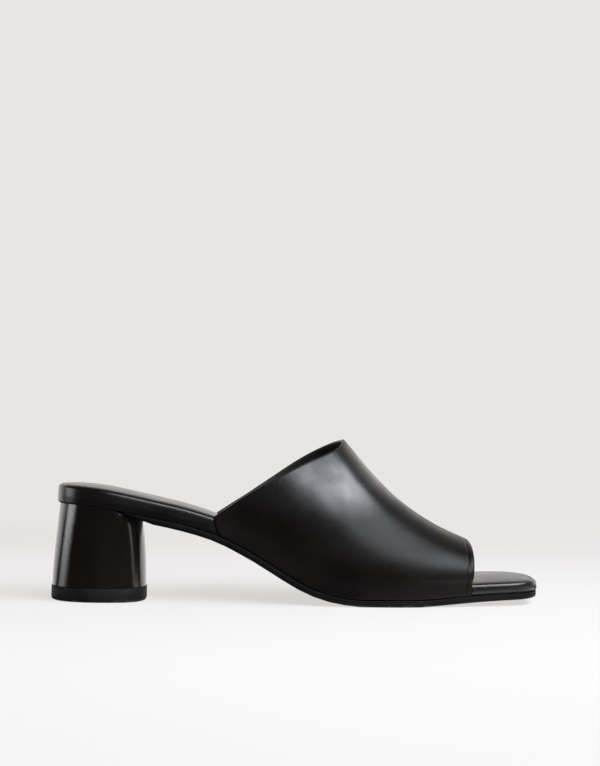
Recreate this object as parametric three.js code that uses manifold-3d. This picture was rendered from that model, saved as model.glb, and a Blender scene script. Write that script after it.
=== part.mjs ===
// Heeled leather mule, right shoe, women's EU 38, standing on its heel and forefoot.
// Millimetres. The origin is on the floor under the centre of the heel. +X points to the toe, +Z is up,
// and +Y is the inner (medial) side of the foot.
import * as THREE from "three";
import { mergeVertices } from "three/addons/utils/BufferGeometryUtils.js";
import Module from "manifold-3d";

const wasm = await Module();
wasm.setup();

// Overall sizes
const SHOE_LENGTH = 242.6; // footbed, from the back of the seat to the tip of the toe
const BALL_WIDTH = 82; // footbed across the ball of the foot
const HEEL_HEIGHT = 48.9; // floor to the underside of the footbed at the back
const INSTEP_HEIGHT = 81.3; // floor to the top of the collar
const TOE_SPRING = 3.6; // lift of the sole's tip above the floor

// Sole and footbed
const SEAT_BACK = 20.5; // how far the footbed reaches behind the centre of the heel
const OUTSOLE_THICKNESS = 3.2;
const OUTSOLE_BEVEL = 1.2; // rounded lower edge
const OUTSOLE_TAIL = 0.9; // skived end, tucked between footbed and heel
const FOOTBED_HEEL = 9.2; // footbed thickness at the seat
const FOOTBED_TOE = 5.2; // footbed thickness at the toe
const FOOTBED_TOP_RADIUS = 1.9;
const FOOTBED_BOTTOM_RADIUS = 0.7;
const SOCK_THICKNESS = 0.8;
const SOCK_MARGIN = 2.3; // footbed left bare around the sock
const SOCK_RECESS = 0.9; // the sock lies in a shallow recess of the footbed

// Upper
const UPPER_WALL = 1.8; // outer leather and lining together
const UPPER_STEP = 0.8; // how far the upper stands proud of the wrapped footbed
const COLLAR_REACH = 66.5; // from the back corner of the wing to the top of the collar
const WING_CORNER = 78.2; // from the back of the footbed to the corner of the lateral wing
const WING_SKEW = 2.4; // how much further forward the medial wing ends
const TOE_OPENING = 208.4; // from the back of the footbed to the top of the toe edge
const TOE_TUCK = 2.8; // how far the toe edge draws back at its foot
const TOE_TUCK_CURVE = 1.6; // exponent of that drawing back, from the ridge down

// Heel
const HEEL_WIDTH = 49; // across the heel at the floor
const HEEL_LENGTH = 48; // along the heel at the floor
const HEEL_TOP = 51; // height of the heel's sections before the seat is cut out of them
const CROWN_TOP = 45; // the heel's top front edge is rounded from here down
const CROWN_HEIGHT = 5.5;
const CROWN_LENGTH = 6.5;
const TOP_PIECE = 7.1; // rubber top piece under the heel
const TOP_PIECE_BEVEL = 1.3;
const TOP_PIECE_BREAK = 0.4; // height of the rounded edge's lower facet
const TOP_PIECE_PROUD = 0.2; // how far the top piece stands out of the heel

const GAP = 0.3; // clearance between two pieces that meet

// Numbers of faces
const OUTLINE_STEPS = 26; // stations along the middle of the sole
const END_STEPS = 11; // stations round each end of the sole
const HEEL_STEPS = 64; // points round the heel
const HEEL_ROWS = 6; // sections of the heel below its rounded top edge
const CROWN_ROWS = 5; // sections through that edge
const ROOM_STEPS = 24; // steps of the seat that is cut out of the heel, before and after the outsole's end
const UPPER_ROWS = { rand: 2, flank: 4, dome: 15 }; // rows up one side of the upper
const UPPER_COLUMNS = 34; // columns along the upper

// Seat line: the underside of the footbed, seen from the side.
// along: share of the shoe's length; rise: share of the climb to the heel; spring: share of the toe spring.
const SEAT_LINE = [
  { along: 0.0, rise: 1.0, spring: 0 },
  { along: 0.043, rise: 0.992, spring: 0 },
  { along: 0.086, rise: 0.972, spring: 0 },
  { along: 0.128, rise: 0.934, spring: 0 },
  { along: 0.168, rise: 0.891, spring: 0 },
  { along: 0.254, rise: 0.795, spring: 0 },
  { along: 0.326, rise: 0.682, spring: 0 },
  { along: 0.408, rise: 0.464, spring: 0 },
  { along: 0.474, rise: 0.25, spring: 0 },
  { along: 0.524, rise: 0.108, spring: 0 },
  { along: 0.574, rise: 0.031, spring: 0 },
  { along: 0.623, rise: 0, spring: 0 },
  { along: 0.733, rise: 0, spring: 0 },
  { along: 0.765, rise: 0, spring: 0.12 },
  { along: 0.797, rise: 0, spring: 0.29 },
  { along: 0.836, rise: 0, spring: 0.49 },
  { along: 0.863, rise: 0, spring: 0.61 },
  { along: 0.904, rise: 0, spring: 0.745 },
  { along: 0.952, rise: 0, spring: 0.87 },
  { along: 1.0, rise: 0, spring: 1 },
];

// Outline of the footbed from above. Its round ends narrow what these rows give.
// along: share of the shoe's length; lateral, medial: half widths as shares of the ball width;
// welt: how far the outsole stands out, as a share of UPPER_STEP.
const OUTLINE = [
  { along: 0, lateral: 0.338, medial: 0.338, welt: 0 },
  { along: 0.124, lateral: 0.337, medial: 0.337, welt: 0 },
  { along: 0.175, lateral: 0.336, medial: 0.328, welt: 0 },
  { along: 0.261, lateral: 0.331, medial: 0.3, welt: 0.2 },
  { along: 0.333, lateral: 0.335, medial: 0.28, welt: 0.5 },
  { along: 0.415, lateral: 0.361, medial: 0.28, welt: 0.8 },
  { along: 0.481, lateral: 0.4, medial: 0.315, welt: 1 },
  { along: 0.56, lateral: 0.454, medial: 0.393, welt: 1 },
  { along: 0.643, lateral: 0.493, medial: 0.468, welt: 1 },
  { along: 0.713, lateral: 0.497, medial: 0.5, welt: 1 },
  { along: 0.787, lateral: 0.472, medial: 0.492, welt: 0.8 },
  { along: 0.857, lateral: 0.436, medial: 0.448, welt: 0.2 },
  { along: 0.92, lateral: 0.4, medial: 0.41, welt: -0.5 },
  { along: 1.0, lateral: 0.37, medial: 0.38, welt: -0.5 },
];
// Round ends: sideways centre as a share of the ball width, and the exponent of each side's curve.
const SEAT_ROUND = { centre: 0, lateral: 2.25, medial: 2.25 };
const TOE_ROUND = { centre: 0, lateral: 3, medial: 2.7 };
const SEAT_END = 0.124; // where the round ends begin, as shares of the shoe's length
const TOE_END = 0.92;

// Sections of the last under the upper, cut across the shoe.
// along: share of the shoe's length; ridge: height of the top as a share of the instep height;
// lean: sideways place of the top as a share of the ball width; belly: height of the widest place above the
// footbed, as a share of the instep height.
const LAST = [
  { along: 0.3, ridge: 1.6, lean: 0.03, belly: 0.2 },
  { along: 0.415, ridge: 1.43, lean: 0.042, belly: 0.2 },
  { along: 0.498, ridge: 1.262, lean: 0.052, belly: 0.18 },
  { along: 0.5983, ridge: 1.0, lean: 0.062, belly: 0.145 },
  { along: 0.6326, ridge: 0.88, lean: 0.062, belly: 0.12 },
  { along: 0.683, ridge: 0.713, lean: 0.058, belly: 0.095 },
  { along: 0.734, ridge: 0.582, lean: 0.05, belly: 0.072 },
  { along: 0.785, ridge: 0.485, lean: 0.042, belly: 0.055 },
  { along: 0.843, ridge: 0.402, lean: 0.034, belly: 0.042 },
  { along: 0.88, ridge: 0.354, lean: 0.03, belly: 0.036 },
];

// Its sides at the same places. lateral, medial: how far each side swells past the footbed, as shares of the ball
// width; lateralSquare, medialSquare: exponents of the dome on each side.
const LAST_SIDES = [
  { along: 0.3, lateral: 0.012, medial: 0.03, lateralSquare: 2.1, medialSquare: 2.2 },
  { along: 0.415, lateral: 0.024, medial: 0.082, lateralSquare: 2.05, medialSquare: 2.2 },
  { along: 0.498, lateral: 0.026, medial: 0.082, lateralSquare: 2.0, medialSquare: 2.15 },
  { along: 0.5983, lateral: 0.02, medial: 0.046, lateralSquare: 1.98, medialSquare: 2.12 },
  { along: 0.6326, lateral: 0.016, medial: 0.026, lateralSquare: 1.98, medialSquare: 2.12 },
  { along: 0.683, lateral: 0.012, medial: 0.014, lateralSquare: 2.0, medialSquare: 2.14 },
  { along: 0.734, lateral: 0.01, medial: 0.01, lateralSquare: 2.06, medialSquare: 2.18 },
  { along: 0.785, lateral: 0.01, medial: 0.01, lateralSquare: 2.16, medialSquare: 2.24 },
  { along: 0.843, lateral: 0.01, medial: 0.01, lateralSquare: 2.28, medialSquare: 2.32 },
  { along: 0.88, lateral: 0.01, medial: 0.01, lateralSquare: 2.34, medialSquare: 2.36 },
];

// Collar edge, from the corner of the wing to the top.
// along: share of COLLAR_REACH; lateral, medial: share of the climb from the corner to the top.
const COLLAR = [
  { along: 0, lateral: 0, medial: 0 },
  { along: 0.08, lateral: 0.09, medial: 0.078 },
  { along: 0.19, lateral: 0.227, medial: 0.19 },
  { along: 0.32, lateral: 0.371, medial: 0.335 },
  { along: 0.44, lateral: 0.489, medial: 0.467 },
  { along: 0.57, lateral: 0.615, medial: 0.614 },
  { along: 0.69, lateral: 0.722, medial: 0.743 },
  { along: 0.81, lateral: 0.81, medial: 0.855 },
  { along: 0.9, lateral: 0.872, medial: 0.93 },
  { along: 0.96, lateral: 0.93, medial: 0.977 },
  { along: 1, lateral: 1, medial: 1 },
];
const WING_FOOT = 0.035; // the wing's edge under its corner, forward of it, as a share of COLLAR_REACH

// Heel sections, from the top piece up to the seat.
// up: share of the heel height; back, front: shares of the heel length from the origin;
// widest: place of the widest point on the same scale; width: share of the heel width; nose: exponent of the front.
const HEEL = [
  { up: 0.0, back: 0.478, front: 0.516, widest: 0.06, width: 1.0, nose: 2.9 },
  { up: 0.13, back: 0.476, front: 0.516, widest: 0.062, width: 1.0, nose: 2.9 },
  { up: 0.3, back: 0.468, front: 0.515, widest: 0.07, width: 1.006, nose: 2.85 },
  { up: 0.5, back: 0.451, front: 0.508, widest: 0.085, width: 1.024, nose: 2.8 },
  { up: 0.7, back: 0.431, front: 0.492, widest: 0.11, width: 1.056, nose: 2.7 },
  { up: 0.86, back: 0.415, front: 0.468, widest: 0.135, width: 1.086, nose: 2.6 },
  { up: 1.0, back: 0.401, front: 0.442, widest: 0.155, width: 1.104, nose: 2.55 },
  { up: 1.1, back: 0.394, front: 0.425, widest: 0.165, width: 1.11, nose: 2.5 },
];
const HEEL_BACK_SQUARE = 2.15; // exponent of the heel's round back
const TAIL_START = 0.142; // outsole's end, as a share of the shoe's length
const TAIL_FULL = 0.205; // where the outsole reaches its full thickness
const ROOM_BACK = -0.1; // ends of the seat that is cut out of the heel
const ROOM_FRONT = 0.32;

// A smooth curve through a table's column. It never overshoots, so equal rows stay flat.
function monotoneCurve(xs, ys) {
  const n = xs.length;
  const slope = xs.slice(1).map((x, i) => (ys[i + 1] - ys[i]) / (x - xs[i]));
  const tangent = ys.map((_, i) => {
    if (i === 0) return slope[0];
    if (i === n - 1) return slope[n - 2];
    if (slope[i - 1] * slope[i] <= 0) return 0;
    return (2 * slope[i - 1] * slope[i]) / (slope[i - 1] + slope[i]);
  });
  return (x) => {
    if (x <= xs[0]) return ys[0] + tangent[0] * (x - xs[0]);
    if (x >= xs[n - 1]) return ys[n - 1] + tangent[n - 1] * (x - xs[n - 1]);
    const i = xs.findLastIndex((start) => start <= x);
    const h = xs[i + 1] - xs[i];
    const t = (x - xs[i]) / h;
    const rising = t * t * (3 - 2 * t);
    return (
      ys[i] * (1 - rising) +
      ys[i + 1] * rising +
      h * tangent[i] * t * (1 - t) ** 2 -
      h * tangent[i + 1] * t * t * (1 - t)
    );
  };
}

// A natural cubic spline through a table's column, with even curvature for the last and the outline.
function splineCurve(xs, ys) {
  const n = xs.length;
  const bend = new Array(n).fill(0);
  const work = new Array(n).fill(0);
  for (let i = 1; i < n - 1; i++) {
    const share = (xs[i] - xs[i - 1]) / (xs[i + 1] - xs[i - 1]);
    const p = share * bend[i - 1] + 2;
    const jump = (ys[i + 1] - ys[i]) / (xs[i + 1] - xs[i]) - (ys[i] - ys[i - 1]) / (xs[i] - xs[i - 1]);
    bend[i] = (share - 1) / p;
    work[i] = ((6 * jump) / (xs[i + 1] - xs[i - 1]) - share * work[i - 1]) / p;
  }
  for (let i = n - 2; i >= 0; i--) bend[i] = bend[i] * bend[i + 1] + work[i];
  return (x) => {
    const i = Math.min(n - 2, Math.max(0, xs.findLastIndex((start) => start <= x)));
    const h = xs[i + 1] - xs[i];
    const a = (xs[i + 1] - x) / h;
    const b = 1 - a;
    return a * ys[i] + b * ys[i + 1] + (((a ** 3 - a) * bend[i] + (b ** 3 - b) * bend[i + 1]) * h * h) / 6;
  };
}

const column = (rows, name) => rows.map((row) => row[name]);
const spline = (rows, name) => splineCurve(column(rows, "along"), column(rows, name));
const monotone = (rows, name) => monotoneCurve(column(rows, "along"), column(rows, name));
const mix = (a, b, t) => a + (b - a) * t;
const smooth = (t) => t * t * (3 - 2 * t);
const clamp = (t) => Math.min(1, Math.max(0, t));

const SMALL_STEP = 1e-3; // for slopes and normals

// Places along the shoe
const stationX = (along) => along * SHOE_LENGTH - SEAT_BACK;
const shareAt = (x) => (x + SEAT_BACK) / SHOE_LENGTH;

// The seat line and what is measured square to it
const FOREFOOT_SEAT = OUTSOLE_THICKNESS + GAP; // seat line where the forefoot rests on the floor
const seatRise = monotone(SEAT_LINE, "rise");
const toeLift = monotone(SEAT_LINE, "spring");
const seatHeight = (along) =>
  FOREFOOT_SEAT + seatRise(along) * (HEEL_HEIGHT - FOREFOOT_SEAT) + toeLift(along) * TOE_SPRING;

function seatSlope(along) {
  const climb = seatHeight(along + SMALL_STEP) - seatHeight(along - SMALL_STEP);
  return climb / (2 * SMALL_STEP * SHOE_LENGTH);
}

// The point at a share along the shoe, sideways by y and lifted by h square to the seat line.
function place(along, y, h) {
  const slope = seatSlope(along);
  const length = Math.hypot(1, slope);
  return new THREE.Vector3(stationX(along) - (slope / length) * h, y, seatHeight(along) + h / length);
}

const footbedThickness = (along) => mix(FOOTBED_HEEL, FOOTBED_TOE, along);
const outsoleThickness = (along) =>
  mix(OUTSOLE_TAIL, OUTSOLE_THICKNESS, smooth(clamp((along - TAIL_START) / (TAIL_FULL - TAIL_START))));

// Half widths of the footbed along its middle
const halfWidth = { lateral: spline(OUTLINE, "lateral"), medial: spline(OUTLINE, "medial") };
const weltShare = monotone(OUTLINE, "welt");

// One side of the footbed's outline as shares along and signed sideways places, from the back to the tip.
function outlineSide(side, from) {
  const sign = side === "medial" ? 1 : -1;
  const points = [];
  const end = (t, start, length, round) => {
    const centre = round.centre * BALL_WIDTH;
    const angle = (t * Math.PI) / 2;
    const power = 2 / round[side];
    const along = start + length * Math.sin(angle) ** power;
    const width = sign * halfWidth[side](along) * BALL_WIDTH;
    return { along, y: mix(centre, width, Math.cos(angle) ** power) };
  };
  if (from < SEAT_END)
    for (let i = END_STEPS; i > 0; i--)
      points.push(end(i / END_STEPS, SEAT_END, -SEAT_END, SEAT_ROUND));
  const start = Math.max(from, SEAT_END);
  for (let i = 0; i <= OUTLINE_STEPS; i++) {
    const along = mix(start, TOE_END, i / OUTLINE_STEPS);
    points.push({ along, y: sign * halfWidth[side](along) * BALL_WIDTH });
  }
  for (let i = 1; i <= END_STEPS; i++)
    points.push(end(i / END_STEPS, TOE_END, 1 - TOE_END, TOE_ROUND));
  return points;
}

// The whole outline, anticlockwise from above, moved outwards by a margin that may change along the shoe.
function outlineLoop(margin, from = 0) {
  const lateral = outlineSide("lateral", from);
  const medial = outlineSide("medial", from);
  const backIsPoint = from < SEAT_END;
  const loop = [...lateral, ...medial.slice(backIsPoint ? 1 : 0, -1).reverse()].map(
    (p) => new THREE.Vector2(p.along * SHOE_LENGTH, p.y),
  );
  const count = loop.length;
  return loop.map((p, i) => {
    const before = loop[(i + count - 1) % count];
    const after = loop[(i + 1) % count];
    const edgeIn = p.clone().sub(before).normalize();
    const edgeOut = after.clone().sub(p).normalize();
    const corner = !backIsPoint && (i === 0 || i === count - 1); // square corner of a straight back end
    const tangent = corner ? (i === 0 ? edgeOut : edgeIn) : edgeIn.add(edgeOut).normalize();
    const out = new THREE.Vector2(tangent.y, -tangent.x).multiplyScalar(margin(p.x / SHOE_LENGTH));
    return { along: (p.x + out.x) / SHOE_LENGTH, y: p.y + out.y };
  });
}

// A closed body from rings with the same number of points. caps(ring) gives the triangles over a ring.
function loft(rings, caps) {
  const count = rings[0].length;
  const positions = rings.flat().flatMap((p) => [p.x, p.y, p.z]);
  const triangles = [];
  for (let k = 0; k + 1 < rings.length; k++)
    for (let i = 0; i < count; i++) {
      const a = k * count + i;
      const b = k * count + ((i + 1) % count);
      triangles.push([a, b, b + count], [a, b + count, a + count]);
    }
  const last = (rings.length - 1) * count;
  for (const [a, b, c] of caps(count)) triangles.push([c, b, a], [a + last, b + last, c + last]);
  return geometry(positions, triangles.flat());
}

function geometry(positions, indices) {
  const made = new THREE.BufferGeometry();
  made.setAttribute("position", new THREE.Float32BufferAttribute(positions, 3));
  made.setIndex(indices);
  made.computeVertexNormals();
  return made;
}

// Triangles over a ring, in strips that cross it from side to side. skip is 1 where the ring starts at a point.
function crossStrips(skip) {
  return (count) => {
    const triangles = skip ? [[0, 1, count - 1]] : [];
    let right = skip;
    let left = count - 1;
    while (left - right > 1) {
      triangles.push([right, right + 1, left]);
      if (left - right > 2) triangles.push([right + 1, left - 1, left]);
      right += 1;
      left -= 1;
    }
    return triangles;
  };
}

// A layer of the sole: rings of the outline, each with an inset and a height square to the seat line.
function soleLayer(profile, margin, from = 0) {
  const rings = profile.map(({ inset, height }) =>
    outlineLoop((along) => margin(along) - inset, from).map(({ along, y }) => place(along, y, height(along))),
  );
  return loft(rings, crossStrips(from < SEAT_END ? 1 : 0));
}

// Steps of the footbed's quarter-round upper edge, as shares of its turn
const EDGE_TURNS = [0.25, 0.5, 0.75];

function footbedProfile() {
  const top = footbedThickness;
  const corner = (radius, angle) => radius * (1 - Math.cos(angle));
  const rows = [{ inset: FOOTBED_BOTTOM_RADIUS, height: () => 0 }];
  rows.push({ inset: 0, height: () => FOOTBED_BOTTOM_RADIUS });
  rows.push({ inset: 0, height: (s) => top(s) - FOOTBED_TOP_RADIUS });
  for (const turn of EDGE_TURNS) {
    const angle = (turn * Math.PI) / 2;
    rows.push({
      inset: corner(FOOTBED_TOP_RADIUS, angle),
      height: (s) => top(s) - FOOTBED_TOP_RADIUS + FOOTBED_TOP_RADIUS * Math.sin(angle),
    });
  }
  rows.push({ inset: FOOTBED_TOP_RADIUS, height: top });
  rows.push({ inset: SOCK_MARGIN, height: top });
  rows.push({ inset: SOCK_MARGIN, height: (s) => top(s) - SOCK_RECESS });
  return rows;
}

function outsoleProfile() {
  const under = (s) => -GAP - outsoleThickness(s);
  const bevel = (s) => OUTSOLE_BEVEL * (outsoleThickness(s) / OUTSOLE_THICKNESS);
  const middle = Math.SQRT1_2;
  return [
    { inset: OUTSOLE_BEVEL, height: under },
    { inset: OUTSOLE_BEVEL * (1 - middle), height: (s) => under(s) + bevel(s) * (1 - middle) },
    { inset: 0, height: (s) => under(s) + bevel(s) },
    { inset: 0, height: () => -GAP },
  ];
}

function sockProfile() {
  const under = (s) => footbedThickness(s) - SOCK_RECESS + GAP;
  return [
    { inset: 0, height: under },
    { inset: 0, height: (s) => under(s) + SOCK_THICKNESS / 2 },
    { inset: SOCK_THICKNESS / 2, height: (s) => under(s) + SOCK_THICKNESS },
  ];
}

// The last's sections as smooth curves along the shoe
const curves = (rows) => Object.keys(rows[0]).slice(1).map((name) => [name, spline(rows, name)]);
const last = Object.fromEntries([...curves(LAST), ...curves(LAST_SIDES)]);

// A point on the outside of the upper. turn runs from 0 at the lateral foot over the ridge at 1 to 2 at the medial
// foot. The first RAND_TURN of each side hugs the footbed, the next stretch swells to the belly, the rest is the dome.
const RAND_TURN = 0.1;
const BELLY_TURN = 0.32;
const HALVINGS = 40; // steps of the search along the last

function lastPoint(x, turn, drop = 0) {
  const along = shareAt(x);
  const side = turn <= 1 ? "lateral" : "medial";
  const sign = turn <= 1 ? -1 : 1;
  const t = turn <= 1 ? turn : 2 - turn;
  const foot = halfWidth[side](along) * BALL_WIDTH + UPPER_STEP;
  const belly = foot + last[side](along) * BALL_WIDTH;
  const footTop = footbedThickness(along) * Math.hypot(1, seatSlope(along));
  const bellyTop = footTop + last.belly(along) * INSTEP_HEIGHT;
  const seat = seatHeight(along);
  if (t < RAND_TURN) return new THREE.Vector3(x, sign * foot, seat + mix(-drop, footTop, t / RAND_TURN));
  if (t < BELLY_TURN) {
    const share = (t - RAND_TURN) / (BELLY_TURN - RAND_TURN);
    return new THREE.Vector3(x, sign * mix(foot, belly, smooth(share)), seat + mix(footTop, bellyTop, share));
  }
  const angle = (((t - BELLY_TURN) / (1 - BELLY_TURN)) * Math.PI) / 2;
  const power = 2 / last[side + "Square"](along);
  const ridgeY = last.lean(along) * BALL_WIDTH;
  const ridgeZ = last.ridge(along) * INSTEP_HEIGHT;
  return new THREE.Vector3(
    x,
    mix(ridgeY, sign * belly, Math.cos(angle) ** power),
    mix(seat + bellyTop, ridgeZ, Math.sin(angle) ** power),
  );
}

// The collar edge as a place along the shoe for each turn, from the lateral foot over the top to the medial foot.
// Up to the wing's corner it rises over the side of the footbed. From there it is where the last meets the collar's
// own height, which grows towards the toe while the last falls.
function collarEdge() {
  const topX = WING_CORNER - SEAT_BACK + COLLAR_REACH;
  const climb = { lateral: monotone(COLLAR, "lateral"), medial: monotone(COLLAR, "medial") };
  return (turn) => {
    const side = turn <= 1 ? "lateral" : "medial";
    const t = 1 - Math.abs(1 - turn);
    const cornerX = WING_CORNER - SEAT_BACK + (side === "medial" ? WING_SKEW : 0);
    const cornerZ = lastPoint(cornerX, RAND_TURN).z;
    const reach = topX - cornerX;
    if (t <= RAND_TURN) return cornerX + WING_FOOT * reach * (1 - t / RAND_TURN);
    let low = 0;
    let high = 1;
    for (let i = 0; i < HALVINGS; i++) {
      const middle = (low + high) / 2;
      const height = mix(cornerZ, INSTEP_HEIGHT, climb[side](middle));
      if (lastPoint(cornerX + middle * reach, turn).z > height) low = middle;
      else high = middle;
    }
    return cornerX + low * reach;
  };
}

// The toe edge as a place along the shoe for each turn. It draws back towards the footbed.
function toeEdge(turn) {
  const fall = Math.abs(1 - turn);
  return TOE_OPENING - SEAT_BACK - TOE_TUCK * fall ** TOE_TUCK_CURVE;
}

// Turns of the rows of the upper, closer together at the foot.
function upperTurns() {
  const side = [];
  const add = (steps, from, to) => {
    for (let i = 0; i < steps; i++) side.push(mix(from, to, i / steps));
  };
  add(UPPER_ROWS.rand, 0, RAND_TURN);
  add(UPPER_ROWS.flank, RAND_TURN, BELLY_TURN);
  add(UPPER_ROWS.dome, BELLY_TURN, 1);
  return [...side, 1, ...side.map((t) => 2 - t).reverse()];
}

// The upper's wall, or the room that it needs: outside and inside are measured square to its outer face,
// beyond lengthens it at the collar and the toe, and drop at its foot.
function upperWall({ outside, inside, beyond, drop }) {
  const collar = collarEdge();
  const turns = upperTurns();
  const surface = (turn, share) => {
    const x = mix(collar(turn) - beyond, toeEdge(turn) + beyond, share);
    return lastPoint(x, turn, drop);
  };
  const normal = (turn, share) => {
    const t = Math.min(2 - SMALL_STEP, Math.max(SMALL_STEP, turn));
    const s = Math.min(1 - SMALL_STEP, Math.max(SMALL_STEP, share));
    const across = surface(t + SMALL_STEP, s).sub(surface(t - SMALL_STEP, s));
    const along = surface(t, s + SMALL_STEP).sub(surface(t, s - SMALL_STEP));
    return along.cross(across).normalize();
  };
  const positions = [];
  for (const offset of [outside, -inside])
    for (const turn of turns)
      for (let j = 0; j <= UPPER_COLUMNS; j++) {
        const share = j / UPPER_COLUMNS;
        const p = surface(turn, share).addScaledVector(normal(turn, share), offset);
        positions.push(p.x, p.y, p.z);
      }
  const wide = UPPER_COLUMNS + 1;
  const inner = turns.length * wide;
  const at = (i, j) => i * wide + j;
  const triangles = [];
  const quad = (a, b, c, d) => triangles.push(a, b, c, a, c, d);
  for (let i = 0; i + 1 < turns.length; i++)
    for (let j = 0; j < UPPER_COLUMNS; j++) {
      const [a, b, c, d] = [at(i, j), at(i, j + 1), at(i + 1, j + 1), at(i + 1, j)];
      quad(a, b, c, d);
      quad(d + inner, c + inner, b + inner, a + inner);
    }
  for (let i = 0; i + 1 < turns.length; i++) {
    const [start, next] = [at(i, 0), at(i + 1, 0)];
    quad(start, next, next + inner, start + inner);
    const [tip, after] = [at(i, UPPER_COLUMNS), at(i + 1, UPPER_COLUMNS)];
    quad(after, tip, tip + inner, after + inner);
  }
  const top = turns.length - 1;
  for (let j = 0; j < UPPER_COLUMNS; j++) {
    quad(at(0, j + 1), at(0, j), at(0, j) + inner, at(0, j + 1) + inner);
    quad(at(top, j), at(top, j + 1), at(top, j + 1) + inner, at(top, j) + inner);
  }
  return geometry(positions, triangles);
}

// A ring of the heel at a height, moved outwards by a margin. Towards the seat the front draws back to a round edge.
const heelShape = Object.fromEntries(
  ["back", "front", "widest", "width", "nose"].map((name) => [name, splineCurve(column(HEEL, "up"), column(HEEL, name))]),
);

function heelRing(z, margin = 0) {
  const up = z / HEEL_HEIGHT;
  const centre = heelShape.widest(up) * HEEL_LENGTH;
  const back = heelShape.back(up) * HEEL_LENGTH + centre + margin;
  const turn = clamp((z - CROWN_TOP + CROWN_HEIGHT) / CROWN_HEIGHT);
  const crown = CROWN_LENGTH * (1 - Math.sqrt(1 - turn ** 2));
  const front = heelShape.front(up) * HEEL_LENGTH - centre - crown + margin;
  const half = (heelShape.width(up) * HEEL_WIDTH) / 2 + margin;
  const ring = [];
  for (let i = 0; i < HEEL_STEPS; i++) {
    const angle = (i / HEEL_STEPS) * 2 * Math.PI;
    const [c, s] = [Math.cos(angle), Math.sin(angle)];
    const square = c > 0 ? heelShape.nose(up) : HEEL_BACK_SQUARE;
    const reach = c > 0 ? front : back;
    ring.push(
      new THREE.Vector3(
        centre + Math.sign(c) * reach * Math.abs(c) ** (2 / square),
        Math.sign(s) * half * Math.abs(s) ** (2 / square),
        z,
      ),
    );
  }
  return ring;
}

// Everything above the heel: the footbed and, from its skived end on, the outsole, with their clearance.
function roomAboveHeel() {
  const tailEdge = TAIL_START - GAP / SHOE_LENGTH;
  const outline = [];
  const add = (along, depth) => {
    const p = place(along, 0, -GAP - depth);
    outline.push(new THREE.Vector2(p.x, p.z));
  };
  for (let i = 0; i <= ROOM_STEPS; i++) add(mix(ROOM_BACK, tailEdge, i / ROOM_STEPS), 0);
  for (let i = 0; i <= ROOM_STEPS; i++) {
    const along = mix(tailEdge, ROOM_FRONT, i / ROOM_STEPS);
    add(along, GAP + outsoleThickness(along));
  }
  const high = 2 * HEEL_HEIGHT;
  outline.push(new THREE.Vector2(stationX(ROOM_FRONT), high), new THREE.Vector2(stationX(ROOM_BACK), high));
  const room = new THREE.ExtrudeGeometry(new THREE.Shape(outline), { depth: 2 * BALL_WIDTH, bevelEnabled: false });
  return room.rotateX(Math.PI / 2).translate(0, BALL_WIDTH, 0);
}

// Solids and cuts
function solid(shape) {
  const plain = shape.clone();
  plain.deleteAttribute("normal");
  plain.deleteAttribute("uv");
  const merged = mergeVertices(plain.index ? plain.toNonIndexed() : plain, 1e-4);
  return new wasm.Manifold(
    new wasm.Mesh({
      numProp: 3,
      vertProperties: merged.attributes.position.array,
      triVerts: new Uint32Array(merged.index.array),
    }),
  );
}

function cut(shape, ...tools) {
  const made = tools.reduce((body, tool) => body.subtract(solid(tool)), solid(shape)).getMesh();
  return geometry(Array.from(made.vertProperties), Array.from(made.triVerts));
}

// The pieces
const ringFan = (count) => Array.from({ length: count - 2 }, (_, i) => [0, i + 1, i + 2]);

function makeOutsole() {
  return soleLayer(outsoleProfile(), (along) => weltShare(along) * UPPER_STEP, TAIL_START);
}

function makeFootbed() {
  const whole = soleLayer(footbedProfile(), () => 0);
  const room = upperWall({ outside: GAP, inside: UPPER_WALL + GAP, beyond: GAP, drop: FOOTBED_TOE });
  return cut(whole, room);
}

function makeSock() {
  return soleLayer(sockProfile(), () => -SOCK_MARGIN - GAP);
}

function makeUpper() {
  return upperWall({ outside: 0, inside: UPPER_WALL, beyond: 0, drop: 0 });
}

function makeHeel() {
  const [bottom, edge] = [TOP_PIECE + GAP, CROWN_TOP - CROWN_HEIGHT];
  const heights = [];
  for (let i = 0; i < HEEL_ROWS; i++) heights.push(mix(bottom, edge, i / (HEEL_ROWS - 1)));
  for (let i = 1; i <= CROWN_ROWS; i++)
    heights.push(edge + CROWN_HEIGHT * Math.sin((i / CROWN_ROWS) * (Math.PI / 2)));
  heights.push(HEEL_TOP);
  return cut(loft(heights.map((z) => heelRing(z)), ringFan), roomAboveHeel());
}

function makeTopPiece() {
  const rings = [
    heelRing(0, TOP_PIECE_PROUD - TOP_PIECE_BEVEL),
    heelRing(TOP_PIECE_BREAK, TOP_PIECE_PROUD - TOP_PIECE_BREAK),
    heelRing(TOP_PIECE_BEVEL, TOP_PIECE_PROUD),
    heelRing(TOP_PIECE - TOP_PIECE_PROUD, TOP_PIECE_PROUD),
    heelRing(TOP_PIECE, 0),
  ];
  return loft(rings, ringFan);
}

// Finishes
const finish = (color, roughness) => new THREE.MeshStandardMaterial({ color, roughness, metalness: 0 });
const smoothLeather = finish(0x141211, 0.32);
const heelLeather = finish(0x171514, 0.26);
const liningLeather = finish(0x1c1a19, 0.42);
const edgePaint = finish(0x1a1817, 0.5);
const rubber = finish(0x1f1e1d, 0.7);

const mule = new THREE.Group();
for (const [name, shape, material] of [
  ["outsole", makeOutsole(), edgePaint],
  ["footbed", makeFootbed(), smoothLeather],
  ["insole_sock", makeSock(), liningLeather],
  ["upper", makeUpper(), smoothLeather],
  ["heel_block", makeHeel(), heelLeather],
  ["heel_top_piece", makeTopPiece(), rubber],
]) {
  const piece = new THREE.Mesh(shape, material);
  piece.name = name;
  mule.add(piece);
}

export default mule;
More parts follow.
